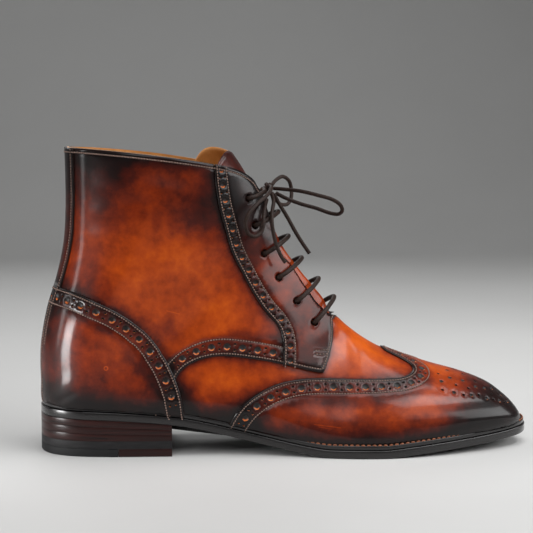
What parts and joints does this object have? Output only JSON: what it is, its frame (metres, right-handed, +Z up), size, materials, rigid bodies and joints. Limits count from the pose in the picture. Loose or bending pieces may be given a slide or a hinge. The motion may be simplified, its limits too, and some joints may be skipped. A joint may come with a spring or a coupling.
{
  "type": "brogue boot",
  "caption": "Laced ankle boot with a perforated wing cap, heel counter and facings, a leather sole and a stacked heel.",
  "frame": {"origin": "on the ground under the middle of the sole's outline", "axes": "+X from heel to toe, +Z up, +Y towards the medial side of this right boot"},
  "size_m": [0.3049, 0.1021, 0.1867],
  "materials": {
    "tan_leather": "glossy burnished calf",
    "burnished_leather": "glossy burnished calf",
    "lining_leather": "matt lining leather",
    "sole_edge": "inked and waxed edge",
    "stacked_leather": "inked stacked leather",
    "grey_fibre": "dark grey fibreboard",
    "rubber": "matt rubber",
    "waxed_lace": "waxed cotton cord"
  },
  "bodies": {
    "root": {"upper": "tan_leather", "wing_cap": "tan_leather", "heel_counter": "tan_leather", "facing_lateral": "burnished_leather", "facing_medial": "burnished_leather", "backstay": "burnished_leather", "tongue": "tan_leather", "insole": "lining_leather", "welt": "sole_edge", "outsole": "sole_edge", "heel_lift_1": "stacked_leather", "heel_lift_2": "stacked_leather", "heel_lift_3": "stacked_leather", "heel_base": "grey_fibre", "top_piece_rubber": "rubber", "top_piece_leather": "stacked_leather", "lace_bar_1": "waxed_lace", "lace_bar_2": "waxed_lace", "lace_bar_3": "waxed_lace", "lace_bar_4": "waxed_lace", "lace_bar_5": "waxed_lace", "lace_top_lateral": "waxed_lace", "lace_top_medial": "waxed_lace", "lace_knot": "waxed_lace", "lace_loop_long": "waxed_lace", "lace_loop_small": "waxed_lace", "lace_loop_side": "waxed_lace", "lace_end_short": "waxed_lace", "lace_end_long": "waxed_lace"}
  },
  "joints": []
}
